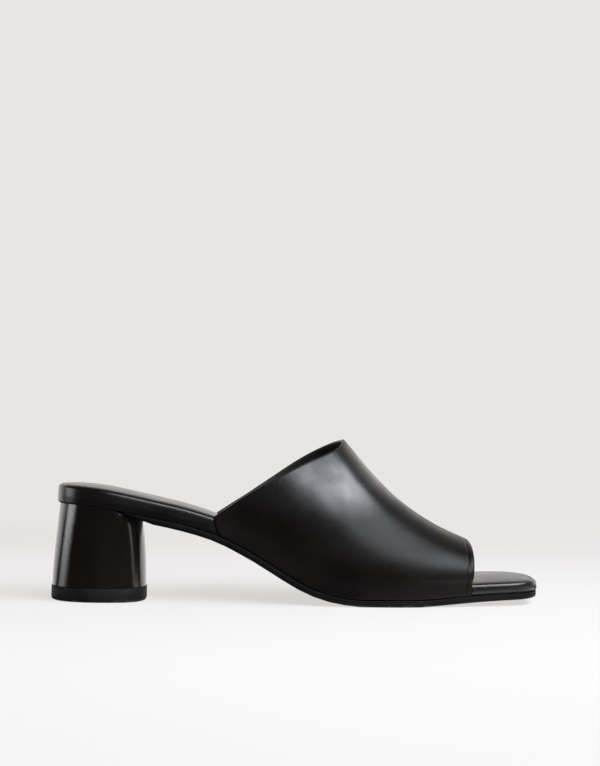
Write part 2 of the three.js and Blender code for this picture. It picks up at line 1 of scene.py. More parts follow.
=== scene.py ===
"""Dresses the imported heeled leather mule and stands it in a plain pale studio.

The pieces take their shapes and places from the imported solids. Creases, polished patches, lights
and the camera have places of their own. Sizes are in metres where nothing else is said: +X points
to the toe, +Y to the inner side of the foot and +Z up.
"""

import logging
import math
from collections.abc import Iterable
from dataclasses import dataclass, field
from enum import Enum

import bmesh
import bpy
from mathutils import Matrix, Vector, noise
from mathutils.bvhtree import BVHTree
from mathutils.kdtree import KDTree


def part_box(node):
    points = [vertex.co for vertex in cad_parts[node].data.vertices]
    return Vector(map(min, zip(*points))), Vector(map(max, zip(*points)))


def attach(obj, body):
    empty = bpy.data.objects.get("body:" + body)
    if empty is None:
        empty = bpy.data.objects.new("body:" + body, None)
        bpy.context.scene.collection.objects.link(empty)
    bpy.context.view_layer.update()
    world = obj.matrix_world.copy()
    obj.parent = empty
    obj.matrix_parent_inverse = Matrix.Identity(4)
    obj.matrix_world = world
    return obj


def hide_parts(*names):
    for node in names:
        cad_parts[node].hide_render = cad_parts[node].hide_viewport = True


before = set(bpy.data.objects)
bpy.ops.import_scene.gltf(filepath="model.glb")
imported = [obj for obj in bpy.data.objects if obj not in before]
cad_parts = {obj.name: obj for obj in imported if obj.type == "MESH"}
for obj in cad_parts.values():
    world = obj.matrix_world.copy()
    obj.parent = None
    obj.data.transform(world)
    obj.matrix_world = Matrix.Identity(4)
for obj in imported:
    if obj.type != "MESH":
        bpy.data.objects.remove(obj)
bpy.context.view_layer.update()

MM = 0.001
log = logging.getLogger("mule")

Color = tuple[float, float, float]
Point = tuple[float, float, float]
Span = tuple[float, float]

BLACK: Color = (0.0, 0.0, 0.0)


class Slot(Enum):
    """Material slots of the record."""

    SMOOTH = "smooth_leather"
    LINING = "lining_leather"
    SOLE = "painted_sole"
    RUBBER = "heel_rubber"


class Edge(Enum):
    """Folded edges of the upper, each with the attribute that a fold line along it reads."""

    COLLAR = "collar_distance"
    TOE = "toe_distance"


class Glued(Enum):
    """Where a piece is glued to its neighbour, as the way that the glued faces look along Z."""

    NOWHERE = 0
    ON_TOP = 1
    UNDERNEATH = -1


class Graph:
    """A node tree with short calls that add, set and join its nodes."""

    def __init__(self, tree: bpy.types.NodeTree) -> None:
        """Keeps the tree of a material, a world or a group."""
        self.tree = tree

    def put(self, socket: bpy.types.NodeSocket, value: object) -> None:
        """Joins a socket to another one, or gives it a constant.

        Args:
            socket: the input.
            value: an output to join, or a number, colour or vector.
        """
        if isinstance(value, bpy.types.NodeSocket):
            self.tree.links.new(value, socket)
        elif socket.type == "RGBA" and len(value) == 3:
            socket.default_value = (*value, 1.0)
        else:
            socket.default_value = value

    def add(
        self, kind: str, settings: dict[str, object] | None = None, **sockets: object
    ) -> bpy.types.Node:
        """Adds a node.

        Args:
            kind: the node's type without its prefix, such as TexNoise.
            settings: the node's own properties.
            sockets: its inputs by name, with spaces as underscores.

        Returns:
            The new node.
        """
        node = self.tree.nodes.new("ShaderNode" + kind)
        for name, value in (settings or {}).items():
            setattr(node, name, value)
        for name, value in sockets.items():
            self.put(node.inputs[name.replace("_", " ")], value)
        return node

    def use(self, effect: bpy.types.NodeTree, **sockets: object) -> bpy.types.Node:
        """Places a shared effect.

        Args:
            effect: the effect's group.
            sockets: its inputs by name.

        Returns:
            The group's node.
        """
        node = self.tree.nodes.new("ShaderNodeGroup")
        node.node_tree = effect
        for name, value in sockets.items():
            self.put(node.inputs[name], value)
        return node

    def math(self, operation: str, first: object, second: object = 0.0) -> bpy.types.NodeSocket:
        """Works out one number from two.

        Args:
            operation: the Math node's operation.
            first: its first value.
            second: its second value.

        Returns:
            The result.
        """
        node = self.add("Math", {"operation": operation})
        self.put(node.inputs[0], first)
        self.put(node.inputs[1], second)
        return node.outputs[0]

    def vector(self, operation: str, first: object, second: object) -> bpy.types.NodeSocket:
        """Works out one vector from two.

        Args:
            operation: the VectorMath node's operation.
            first: its first vector.
            second: its second vector.

        Returns:
            The result.
        """
        node = self.add("VectorMath", {"operation": operation})
        self.put(node.inputs[0], first)
        self.put(node.inputs[1], second)
        return node.outputs[0]

    def length(self, value: object) -> bpy.types.NodeSocket:
        """Measures a vector.

        Args:
            value: the vector.

        Returns:
            Its length.
        """
        node = self.add("VectorMath", {"operation": "LENGTH"})
        self.put(node.inputs[0], value)
        return node.outputs["Value"]

    def mix(self, share: object, first: object, second: object) -> bpy.types.NodeSocket:
        """Blends two colours.

        Args:
            share: how much of the second is shown.
            first: the colour at a share of 0.
            second: the colour at a share of 1.

        Returns:
            The blend.
        """
        node = self.add("Mix", {"data_type": "RGBA"})
        for name, value in (("Factor_Float", share), ("A_Color", first), ("B_Color", second)):
            self.put(next(s for s in node.inputs if s.identifier == name), value)
        return next(s for s in node.outputs if s.identifier == "Result_Color")

    def span(
        self, value: object, start: object, end: object, low: object = 0.0, high: object = 1.0
    ) -> bpy.types.NodeSocket:
        """Takes a value smoothly from one range to another.

        Args:
            value: what is mapped.
            start: where the range begins.
            end: where it ends.
            low: the result at its start.
            high: the result at its end.

        Returns:
            The result.
        """
        node = self.add("MapRange", {"interpolation_type": "SMOOTHSTEP"}, Value=value)
        bounds = (("From Min", start), ("From Max", end), ("To Min", low), ("To Max", high))
        for name, bound in bounds:
            self.put(node.inputs[name], bound)
        return node.outputs["Result"]


@dataclass
class Effects:
    """Node groups that more than one finish uses. Each is built when it is first asked for.

    What is counted is counted per metre. The spans are of noise or of the cell pattern, from 0 to 1.
    """

    grain_bend: float = 0.6 * MM
    grain_detail: float = 2.0
    grain_dome: Span = (0.0, 0.32)
    grain_pore: Span = (0.0, 0.12)
    grain_slow: float = 0.8
    cloud_detail: float = 4.0
    cloud_span: Span = (0.3, 0.7)
    speck_count: float = 900.0
    speck_detail: float = 5.0
    speck_roughness: float = 0.7
    dust_patch_count: float = 120.0
    dust_patch_detail: float = 3.0
    dust_span: Span = (0.24, 0.4)
    built: dict[str, bpy.types.NodeTree] = field(default_factory=dict)

    def _begin(
        self, name: str, inputs: dict[str, str], outputs: Iterable[str]
    ) -> tuple[Graph, bpy.types.Node, bpy.types.Node]:
        """Opens a new group.

        Args:
            name: the group's name.
            inputs: its inputs and their socket types, Float or Vector.
            outputs: its outputs, all of them values.

        Returns:
            The group's graph, its input node and its output node.
        """
        tree = bpy.data.node_groups.new(name, "ShaderNodeTree")
        for key, kind in inputs.items():
            tree.interface.new_socket(name=key, in_out="INPUT", socket_type="NodeSocket" + kind)
        for key in outputs:
            tree.interface.new_socket(name=key, in_out="OUTPUT", socket_type="NodeSocketFloat")
        self.built[name] = tree
        return Graph(tree), tree.nodes.new("NodeGroupInput"), tree.nodes.new("NodeGroupOutput")

    def grain(self) -> bpy.types.NodeTree:
        """Gives fine leather grain: cells with pores between them and a slow wave.

        Returns:
            The group.
        """
        if "leather_grain" not in self.built:
            inputs = {"Vector": "Vector", "Cells": "Float", "Wave": "Float"}
            graph, given, result = self._begin("leather_grain", inputs, ["Height", "Pores"])
            place, wave = given.outputs["Vector"], given.outputs["Wave"]
            slow = graph.add("TexNoise", Vector=place, Scale=wave, Detail=self.grain_detail)
            push = graph.vector("MULTIPLY", slow.outputs["Color"], (self.grain_bend,) * 3)
            cells = graph.add(
                "TexVoronoi",
                {"feature": "DISTANCE_TO_EDGE"},
                Vector=graph.vector("ADD", place, push),
                Scale=given.outputs["Cells"],
            )
            wall = cells.outputs["Distance"]
            rise = graph.math("MULTIPLY", slow.outputs["Fac"], self.grain_slow)
            height = graph.math("ADD", graph.span(wall, *self.grain_dome), rise)
            graph.put(result.inputs["Height"], height)
            graph.put(result.inputs["Pores"], graph.span(wall, *self.grain_pore, 1.0, 0.0))
        return self.built["leather_grain"]

    def clouds(self) -> bpy.types.NodeTree:
        """Gives slow unevenness of colour or gloss between two values.

        Returns:
            The group.
        """
        if "clouds" not in self.built:
            inputs = {"Vector": "Vector", "Scale": "Float", "Low": "Float", "High": "Float"}
            graph, given, result = self._begin("clouds", inputs, ["Value"])
            place, scale = given.outputs["Vector"], given.outputs["Scale"]
            uneven = graph.add("TexNoise", Vector=place, Scale=scale, Detail=self.cloud_detail)
            low, high = given.outputs["Low"], given.outputs["High"]
            value = graph.span(uneven.outputs["Fac"], *self.cloud_span, low, high)
            graph.put(result.inputs["Value"], value)
        return self.built["clouds"]

    def line(self) -> bpy.types.NodeTree:
        """Gives a soft line at a distance from an edge, as a mask that is 1 along it.

        Returns:
            The group.
        """
        if "edge_line" not in self.built:
            inputs = {"Distance": "Float", "Place": "Float", "Width": "Float"}
            graph, given, result = self._begin("edge_line", inputs, ["Mask"])
            off = graph.math("SUBTRACT", given.outputs["Distance"], given.outputs["Place"])
            away = graph.math("ABSOLUTE", off)
            mask = graph.span(away, 0.0, given.outputs["Width"], 1.0, 0.0)
            graph.put(result.inputs["Mask"], mask)
        return self.built["edge_line"]

    def dust(self) -> bpy.types.NodeTree:
        """Gives specks and rubbed places that thin out from the floor up to a height.

        Returns:
            The group.
        """
        if "dust" not in self.built:
            inputs = {"Vector": "Vector", "Top": "Float", "Amount": "Float"}
            graph, given, result = self._begin("dust", inputs, ["Mask"])
            place = given.outputs["Vector"]
            height = graph.add("SeparateXYZ", Vector=place).outputs["Z"]
            low = graph.span(height, 0.0, given.outputs["Top"], 1.0, 0.0)
            specks = graph.add(
                "TexNoise",
                Vector=place,
                Scale=self.speck_count,
                Detail=self.speck_detail,
                Roughness=self.speck_roughness,
            )
            patches = graph.add(
                "TexNoise",
                Vector=place,
                Scale=self.dust_patch_count,
                Detail=self.dust_patch_detail,
            )
            both = graph.math("MULTIPLY", specks.outputs["Fac"], patches.outputs["Fac"])
            seen = graph.span(both, *self.dust_span, 0.0, given.outputs["Amount"])
            graph.put(result.inputs["Mask"], graph.math("MULTIPLY", seen, low))
        return self.built["dust"]


EFFECTS = Effects()


def new_material(
    name: str,
) -> tuple[bpy.types.Material, Graph, bpy.types.Node, bpy.types.NodeSocket]:
    """Makes an empty material.

    Args:
        name: its name.

    Returns:
        The material, its graph, its shader and the object coordinates.
    """
    material = bpy.data.materials.new(name)
    material.use_nodes = True
    graph = Graph(material.node_tree)
    shader = material.node_tree.nodes["Principled BSDF"]
    place = graph.add("TexCoord").outputs["Object"]
    return material, graph, shader, place


@dataclass(frozen=True)
class FoldLine:
    """A pressed line that runs along an edge of the upper. A negative depth makes a ridge."""

    edge: Edge
    place: float
    width: float
    depth: float


@dataclass(frozen=True)
class Polish:
    """A patch that is rubbed to a higher gloss: full inside a share of its reach, gone at the reach."""

    centre: Point
    reach: Point
    weight: float
    full: float

    def mask(self, graph: Graph, place: bpy.types.NodeSocket) -> bpy.types.NodeSocket:
        """Works out how polished each place is by this patch.

        Args:
            graph: the material's graph.
            place: the object coordinates.

        Returns:
            The patch's weight there.
        """
        off = graph.vector("SUBTRACT", place, self.centre)
        reach = graph.length(graph.vector("DIVIDE", off, self.reach))
        return graph.span(reach, self.full, 1.0, self.weight, 0.0)


@dataclass(frozen=True)
class Leather:
    """Smooth black calf leather with a satin dressing.

    Colours are linear. The grain's cells and waves and the clouds are counted per metre.
    """

    name: str
    deep: Color = (0.0036, 0.0027, 0.0021)
    worn: Color = (0.0072, 0.0058, 0.0048)
    gloss_low: float = 0.33
    gloss_high: float = 0.41
    gloss_clouds: float = 42.0
    tone_clouds: float = 29.4
    specular: float = 0.5
    cells: float = 1900.0
    waves: float = 300.0
    grain_depth: float = 0.012 * MM
    pore_shade: float = 0.5
    polish: tuple[Polish, ...] = ()
    polish_clouds: float = 110.0
    polish_low: float = 0.6
    coat_roughness: float = 0.27
    coat_ior: float = 1.7
    dust_top: float = 4 * MM
    dust_amount: float = 0.0
    dust_color: Color = (0.3, 0.29, 0.28)
    folds: tuple[FoldLine, ...] = ()

    def material(self) -> bpy.types.Material:
        """Makes the finish.

        Returns:
            The new material.
        """
        material, graph, shader, place = new_material(self.name)
        grain = graph.use(EFFECTS.grain(), Vector=place, Cells=self.cells, Wave=self.waves)
        gloss = graph.use(
            EFFECTS.clouds(),
            Vector=place,
            Scale=self.gloss_clouds,
            Low=self.gloss_low,
            High=self.gloss_high,
        )
        height = self._height(graph, grain.outputs["Height"])
        bump = graph.add("Bump", Height=height, Distance=1.0, Strength=1.0)
        graph.put(shader.inputs["Base Color"], self._color(graph, place, grain.outputs["Pores"]))
        graph.put(shader.inputs["Roughness"], gloss.outputs[0])
        graph.put(shader.inputs["Normal"], bump.outputs[0])
        graph.put(shader.inputs["Specular IOR Level"], self.specular)
        if self.polish:
            graph.put(shader.inputs["Coat Weight"], self._polished(graph, place))
            graph.put(shader.inputs["Coat Normal"], bump.outputs[0])
            graph.put(shader.inputs["Coat Roughness"], self.coat_roughness)
            graph.put(shader.inputs["Coat IOR"], self.coat_ior)
        return material

    def _color(
        self, graph: Graph, place: bpy.types.NodeSocket, pores: bpy.types.NodeSocket
    ) -> bpy.types.NodeSocket:
        """Works out the colour, with darker pores and dust near the floor.

        Args:
            graph: the material's graph.
            place: the object coordinates.
            pores: where the grain has its pores.

        Returns:
            The colour.
        """
        tone = graph.use(
            EFFECTS.clouds(), Vector=place, Scale=self.tone_clouds, Low=0.0, High=1.0
        )
        color = graph.mix(tone.outputs[0], self.deep, self.worn)
        color = graph.mix(graph.math("MULTIPLY", pores, self.pore_shade), color, self.deep)
        if not self.dust_amount:
            return color
        dust = graph.use(
            EFFECTS.dust(), Vector=place, Top=self.dust_top, Amount=self.dust_amount
        )
        return graph.mix(dust.outputs[0], color, self.dust_color)

    def _height(self, graph: Graph, grain: bpy.types.NodeSocket) -> bpy.types.NodeSocket:
        """Works out the height of the grain and of the pressed lines.

        Args:
            graph: the material's graph.
            grain: the grain's height, from 0 to about 2.

        Returns:
            The height in metres.
        """
        height = graph.math("MULTIPLY", grain, self.grain_depth)
        for fold in self.folds:
            attribute = graph.add("Attribute", {"attribute_name": fold.edge.value})
            line = graph.use(
                EFFECTS.line(),
                Distance=attribute.outputs["Fac"],
                Place=fold.place,
                Width=fold.width,
            )
            pressed = graph.math("MULTIPLY", line.outputs[0], fold.depth)
            height = graph.math("SUBTRACT", height, pressed)
        return height

    def _polished(self, graph: Graph, place: bpy.types.NodeSocket) -> bpy.types.NodeSocket:
        """Works out how polished each place is, with cloudy unevenness.

        Args:
            graph: the material's graph.
            place: the object coordinates.

        Returns:
            The weight of the polish.
        """
        first, *others = (patch.mask(graph, place) for patch in self.polish)
        for mask in others:
            first = graph.math("MAXIMUM", mask, first)
        clouds = graph.use(
            EFFECTS.clouds(),
            Vector=place,
            Scale=self.polish_clouds,
            Low=self.polish_low,
            High=1.0,
        )
        return graph.math("MULTIPLY", first, clouds.outputs[0])


@dataclass(frozen=True)
class Matt:
    """Half matt black surface, such as edge paint or the rubber of the top piece.

    Colours are linear. Specks and clouds are counted per metre.
    """

    name: str
    deep: Color
    pale: Color
    gloss_low: float
    gloss_high: float
    specks: float
    speck_depth: float
    dust_top: float = 0.0
    dust_amount: float = 0.0
    dust_color: Color = (0.34, 0.33, 0.31)
    specular: float = 0.25
    speck_detail: float = 4.0
    speck_roughness: float = 0.65
    gloss_clouds: float = 160.0
    tone_clouds: float = 90.0

    def material(self) -> bpy.types.Material:
        """Makes the finish.

        Returns:
            The new material.
        """
        material, graph, shader, place = new_material(self.name)
        gloss = graph.use(
            EFFECTS.clouds(),
            Vector=place,
            Scale=self.gloss_clouds,
            Low=self.gloss_low,
            High=self.gloss_high,
        )
        tone = graph.use(
            EFFECTS.clouds(), Vector=place, Scale=self.tone_clouds, Low=0.0, High=1.0
        )
        color = graph.mix(tone.outputs[0], self.deep, self.pale)
        if self.dust_amount:
            dust = graph.use(
                EFFECTS.dust(), Vector=place, Top=self.dust_top, Amount=self.dust_amount
            )
            color = graph.mix(dust.outputs[0], color, self.dust_color)
        fine = graph.add(
            "TexNoise",
            Vector=place,
            Scale=self.specks,
            Detail=self.speck_detail,
            Roughness=self.speck_roughness,
        )
        height = graph.math("MULTIPLY", fine.outputs["Fac"], self.speck_depth)
        bump = graph.add("Bump", Height=height, Distance=1.0, Strength=1.0)
        graph.put(shader.inputs["Base Color"], color)
        graph.put(shader.inputs["Roughness"], gloss.outputs[0])
        graph.put(shader.inputs["Normal"], bump.outputs[0])
        graph.put(shader.inputs["Specular IOR Level"], self.specular)
        return material


GLUED_FACE = Matt(
    "glued_face",
    deep=(0.004, 0.0036, 0.0032),
    pale=(0.006, 0.0054, 0.005),
    gloss_low=0.85,
    gloss_high=0.95,
    specks=900.0,
    speck_depth=0.03 * MM,
)


@dataclass(frozen=True)
class Crease:
    """A soft trough or, with a negative depth, a ridge along a line over the leather.

    Places and sizes are in millimetres. Past each end it fades out within half of fade, which is a
    share of its length.
    """

    start: Point
    end: Point
    width: float
    depth: float
    fade: float = 0.3

    def press(self, place: Vector, start: Vector, along: Vector) -> float:
        """Works out how far the crease presses the leather in.

        Args:
            place: a point of the leather.
            start: the start of the crease's line, on the leather.
            along: the way from its start to its end.

        Returns:
            The depth there, in metres.
        """
        share = (place - start).dot(along) / along.length_squared
        if not -self.fade < share < 1 + self.fade:
            return 0.0
        near = start + along * min(1.0, max(0.0, share))
        away = (place - near).length / (self.width * MM)
        run = (share + self.fade / 2) / (1 + self.fade)
        taper = math.sin(math.pi * min(1.0, max(0.0, run)))
        return self.depth * MM * taper * math.exp(-away * away)


class Body:
    """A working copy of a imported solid, merged and in quads where its faces allow it."""

    WELD = 0.004 * MM
    QUAD_BEND = math.radians(25)
    QUAD_SHAPE = math.radians(75)

    def __init__(self, node: str) -> None:
        """Copies the solid.

        Args:
            node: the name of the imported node.
        """
        self.mesh = bmesh.new()
        self.mesh.from_mesh(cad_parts[node].data)
        bmesh.ops.remove_doubles(self.mesh, verts=self.mesh.verts, dist=self.WELD)
        bmesh.ops.dissolve_degenerate(self.mesh, edges=self.mesh.edges, dist=self.WELD)
        bmesh.ops.join_triangles(
            self.mesh,
            faces=self.mesh.faces,
            angle_face_threshold=self.QUAD_BEND,
            angle_shape_threshold=self.QUAD_SHAPE,
        )

    def sharp(self, angle: float) -> list[bmesh.types.BMEdge]:
        """Returns the edges whose faces meet at more than an angle, in radians."""
        return [e for e in self.mesh.edges if e.is_manifold and e.calc_face_angle() > angle]

    def round_edges(
        self, edges: Iterable[bmesh.types.BMEdge], radius: float, segments: int
    ) -> None:
        """Rounds edges.

        Args:
            edges: the edges to round.
            radius: how far the rounding reaches.
            segments: its number of faces.
        """
        bmesh.ops.bevel(
            self.mesh,
            geom=list(edges),
            offset=radius,
            offset_type="OFFSET",
            segments=segments,
            profile=0.5,
            affect="EDGES",
            clamp_overlap=True,
            material=-1,
        )

    def hold(self, angle: float) -> None:
        """Keeps edges crisp when the mesh is divided.

        Args:
            angle: how sharp an edge has to be to stay crisp, in radians.
        """
        layer = self.mesh.edges.layers.float.new("crease_edge")
        for edge in self.sharp(angle):
            edge[layer] = 1.0

    def regions(self, angle: float) -> list[list[bmesh.types.BMFace]]:
        """Sorts the faces into the groups that sharp edges divide.

        Args:
            angle: how sharp an edge has to be to divide them, in radians.

        Returns:
            The groups, the largest first.
        """
        walls = set(self.sharp(angle))
        left = set(self.mesh.faces)
        found = []
        while left:
            group = [left.pop()]
            for face in group:
                for edge in face.edges:
                    if edge in walls:
                        continue
                    for other in edge.link_faces:
                        if other in left:
                            left.remove(other)
                            group.append(other)
            found.append(group)
        return sorted(found, key=lambda group: -sum(face.calc_area() for face in group))

    def finish(self, name: str, smooth_angle: float) -> bpy.types.Object:
        """Makes an object of the mesh, smooth except at sharp edges.

        Args:
            name: the object's name.
            smooth_angle: the angle above which an edge stays sharp, in radians.

        Returns:
            The object, at the origin.
        """
        for face in self.mesh.faces:
            face.smooth = True
        for edge in self.mesh.edges:
            edge.smooth = not edge.is_manifold or edge.calc_face_angle() < smooth_angle
        data = bpy.data.meshes.new(name)
        self.mesh.to_mesh(data)
        self.mesh.free()
        piece = bpy.data.objects.new(name, data)
        bpy.context.scene.collection.objects.link(piece)
        return piece


def subdivided(piece: bpy.types.Object, levels: int) -> bmesh.types.BMesh:
    """Takes a piece through a subdivision surface.

    Args:
        piece: the object, which is removed.
        levels: how many times each face is divided.

    Returns:
        The divided mesh.
    """
    modifier = piece.modifiers.new("subdivision", "SUBSURF")
    modifier.levels = modifier.render_levels = levels
    evaluated = piece.evaluated_get(bpy.context.evaluated_depsgraph_get())
    made = bmesh.new()
    made.from_mesh(evaluated.to_mesh())
    evaluated.to_mesh_clear()
    bpy.data.meshes.remove(piece.data)
    return made


def settle(
    piece: bpy.types.Object, node: str, materials: Iterable[bpy.types.Material]
) -> None:
    """Gives a piece its materials and its place in the frame.

    Args:
        piece: the finished object.
        node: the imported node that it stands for.
        materials: its materials in the order of its faces' indices.
    """
    for material in materials:
        piece.data.materials.append(material)
    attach(piece, "root")
    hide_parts(node)
    log.info("%s: %d faces", piece.name, len(piece.data.polygons))


@dataclass
class Upper:
    """The hollow vamp: outer leather folded over its rims, and a lining inside.

    The two largest groups of its faces are the outside and the lining, in that order. The others
    are rims.
    """

    node: str = "upper"
    rim_angle: float = math.radians(55)
    rim_steepness: float = 3.0
    rim_samples: int = 6
    rim_reach: float = 2.5 * MM
    fold_radius: float = 0.75 * MM
    fold_segments: int = 3
    levels: int = 2
    waviness: float = 0.11 * MM
    wave_length: float = 13 * MM
    creases: tuple[Crease, ...] = (
        Crease((62, -36, 39), (92, -43, 31), width=4.5, depth=0.22),
        Crease((70, -35, 50), (104, -43, 43), width=6.0, depth=-0.16),
        Crease((84, -36, 36), (112, -43, 22), width=5.0, depth=0.2),
        Crease((118, -43, 16), (172, -38, 12), width=3.2, depth=0.16),
        Crease((122, -34, 58), (136, -41, 36), width=7.5, depth=0.18),
        Crease((150, -30, 42), (158, -38, 26), width=6.0, depth=0.14),
        Crease((64, 34, 40), (94, 40, 30), width=4.5, depth=0.22),
        Crease((78, 33, 52), (108, 42, 40), width=6.5, depth=0.16),
        Crease((116, 42, 17), (170, 39, 12), width=3.2, depth=0.16),
        Crease((128, 33, 56), (140, 41, 34), width=7.0, depth=0.16),
    )
    outside: Leather = Leather(
        "upper_leather",
        specular=0.17,
        polish=(
            Polish((0.116, 0.0, 0.059), (0.045, 0.06, 0.026), weight=1.0, full=0.3),
            Polish((0.168, 0.0, 0.024), (0.02, 0.05, 0.014), weight=0.14, full=0.2),
        ),
        folds=(
            FoldLine(Edge.TOE, place=3.5 * MM, width=0.9 * MM, depth=0.14 * MM),
            FoldLine(Edge.TOE, place=1.7 * MM, width=1.2 * MM, depth=-0.1 * MM),
        ),
    )
    inside: Leather = Leather(
        "upper_lining", gloss_low=0.5, gloss_high=0.6, cells=1500.0, grain_depth=0.04 * MM
    )

    def _rims(self, body: Body) -> dict[Edge, KDTree]:
        """Finds the collar's and the toe edge's rims. The lower rims, which look down, aren't among them.

        Args:
            body: the upper's copy before its rims are rounded.

        Returns:
            Points along each rim, for a search of the nearest.
        """
        middle = (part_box(self.node)[0].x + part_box(self.node)[1].x) / 2
        points: dict[Edge, list[Vector]] = {Edge.COLLAR: [], Edge.TOE: []}
        for group in body.regions(self.rim_angle)[2:]:
            normal = sum((face.normal * face.calc_area() for face in group), Vector())
            if abs(normal.z) > self.rim_steepness * abs(normal.x):
                continue
            centre = sum((face.calc_center_median() for face in group), Vector()) / len(group)
            edge = Edge.COLLAR if centre.x < middle else Edge.TOE
            for side in {e for face in group for e in face.edges}:
                start, end = (v.co for v in side.verts)
                for step in range(self.rim_samples + 1):
                    points[edge].append(start.lerp(end, step / self.rim_samples))
        rims = {}
        for edge, found in points.items():
            rims[edge] = KDTree(len(found))
            for index, point in enumerate(found):
                rims[edge].insert(point, index)
            rims[edge].balance()
        return rims

    def _sink(self, made: bmesh.types.BMesh, rims: dict[Edge, KDTree]) -> None:
        """Presses the creases and a slight unevenness into the wall, and leaves its rims in place.

        Args:
            made: the divided mesh.
            rims: the rims' points.
        """
        made.normal_update()
        tree = BVHTree.FromBMesh(made)
        lines = []
        for crease in self.creases:
            ends = (Vector(crease.start) * MM, Vector(crease.end) * MM)
            start, end = (tree.find_nearest(place)[0] for place in ends)
            lines.append((crease, start, end - start))
        moves = []
        for vert in made.verts:
            rim = min(found.find(vert.co)[2] for found in rims.values())
            wave = noise.noise(vert.co / self.wave_length) * self.waviness
            press = sum(crease.press(vert.co, start, along) for crease, start, along in lines)
            moves.append((vert, (wave - press) * min(1.0, rim / self.rim_reach)))
        outward = self._outward(made)
        for vert, move in moves:
            vert.co += outward[vert.index] * move

    def _outward(self, made: bmesh.types.BMesh) -> list[Vector]:
        """Returns for each point the way out of the shoe, on the outside and the lining alike."""
        made.verts.index_update()
        return [v.normal * (-1 if v.link_faces[0].material_index else 1) for v in made.verts]

    def build(self) -> bpy.types.Object:
        """Builds the upper.

        Returns:
            The finished object.
        """
        body = Body(self.node)
        rims = self._rims(body)
        for face in body.mesh.faces:
            face.material_index = 0
        for face in body.regions(self.rim_angle)[1]:
            face.material_index = 1
        body.round_edges(body.sharp(self.rim_angle), self.fold_radius, self.fold_segments)
        body.mesh = subdivided(body.finish("upper_base", math.pi), self.levels)
        self._sink(body.mesh, rims)
        for edge in dict.fromkeys(fold.edge for fold in self.outside.folds):
            layer = body.mesh.verts.layers.float.new(edge.value)
            for vert in body.mesh.verts:
                vert[layer] = rims[edge].find(vert.co)[2]
        piece = body.finish("upper_dressed", math.pi)
        settle(piece, self.node, (self.outside.material(), self.inside.material()))
        return piece


@dataclass
class Plain:
    """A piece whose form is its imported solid, with rounded edges or finer faces where it asks for them.

    A face is glued where it looks up or down, as glued says, more steeply than glued_slope.
    """

    node: str
    name: str
    slot: Slot
    finish: Leather | Matt
    radius: float = 0.0
    round_angle: float = math.radians(60)
    segments: int = 2
    smooth_angle: float = math.radians(50)
    cap_inset: float = 0.0
    cap_slope: float = 0.75
    levels: int = 0
    crisp_angle: float = math.radians(32)
    glued: Glued = Glued.NOWHERE
    glued_slope: float = 0.5

    def _inset_caps(self, body: Body) -> None:
        """Sets a border into the top and into the underside, so that they stay flat up to it.

        Args:
            body: the piece's copy.
        """
        for way in (-1, 1):
            caps = [face for face in body.mesh.faces if face.normal.z * way > self.cap_slope]
            bmesh.ops.inset_region(
                body.mesh, faces=caps, thickness=self.cap_inset, use_even_offset=True
            )

    def _mark_glued(self, body: Body) -> None:
        """Gives the glued faces the second material.

        Args:
            body: the piece's copy.
        """
        body.mesh.normal_update()
        for face in body.mesh.faces:
            face.material_index = int(face.normal.z * self.glued.value > self.glued_slope)

    def build(self) -> bpy.types.Object:
        """Builds the piece.

        Returns:
            The finished object.
        """
        body = Body(self.node)
        if self.cap_inset:
            self._inset_caps(body)
        if self.radius:
            body.round_edges(body.sharp(self.round_angle), self.radius, self.segments)
        if self.levels:
            body.hold(self.crisp_angle)
            body.mesh = subdivided(body.finish(self.name + "_base", math.pi), self.levels)
        materials = [self.finish.material()]
        if self.glued is not Glued.NOWHERE:
            self._mark_glued(body)
            materials.append(GLUED_FACE.material())
        piece = body.finish(self.name, self.smooth_angle)
        settle(piece, self.node, materials)
        return piece


@dataclass
class Sole:
    """The parts under the foot: wrapped footbed, its sock and the outsole."""

    wrap: Leather = Leather(
        "footbed_leather", gloss_low=0.22, gloss_high=0.29, grain_depth=0.012 * MM
    )
    sock_leather: Leather = Leather(
        "sock_leather", gloss_low=0.26, gloss_high=0.32, cells=1500.0, grain_depth=0.02 * MM
    )
    paint: Matt = Matt(
        "sole_paint",
        deep=(0.0032, 0.0027, 0.0023),
        pale=(0.0062, 0.0055, 0.005),
        gloss_low=0.5,
        gloss_high=0.62,
        specks=1400.0,
        speck_depth=0.03 * MM,
        dust_top=1.5 * MM,
        dust_amount=0.5,
        specular=0.09,
    )

    def build(self) -> list[bpy.types.Object]:
        """Builds the three pieces.

        Returns:
            The footbed, the sock and the outsole.
        """
        footbed = Plain(
            "footbed",
            "footbed_wrapped",
            Slot.SMOOTH,
            self.wrap,
            levels=1,
            glued=Glued.UNDERNEATH,
        )
        sock = Plain(
            "insole_sock",
            "sock_dressed",
            Slot.LINING,
            self.sock_leather,
            radius=0.2 * MM,
            round_angle=math.radians(40),
        )
        outsole = Plain(
            "outsole",
            "outsole_painted",
            Slot.SOLE,
            self.paint,
            radius=0.25 * MM,
            cap_inset=0.9 * MM,
        )
        return [piece.build() for piece in (footbed, sock, outsole)]


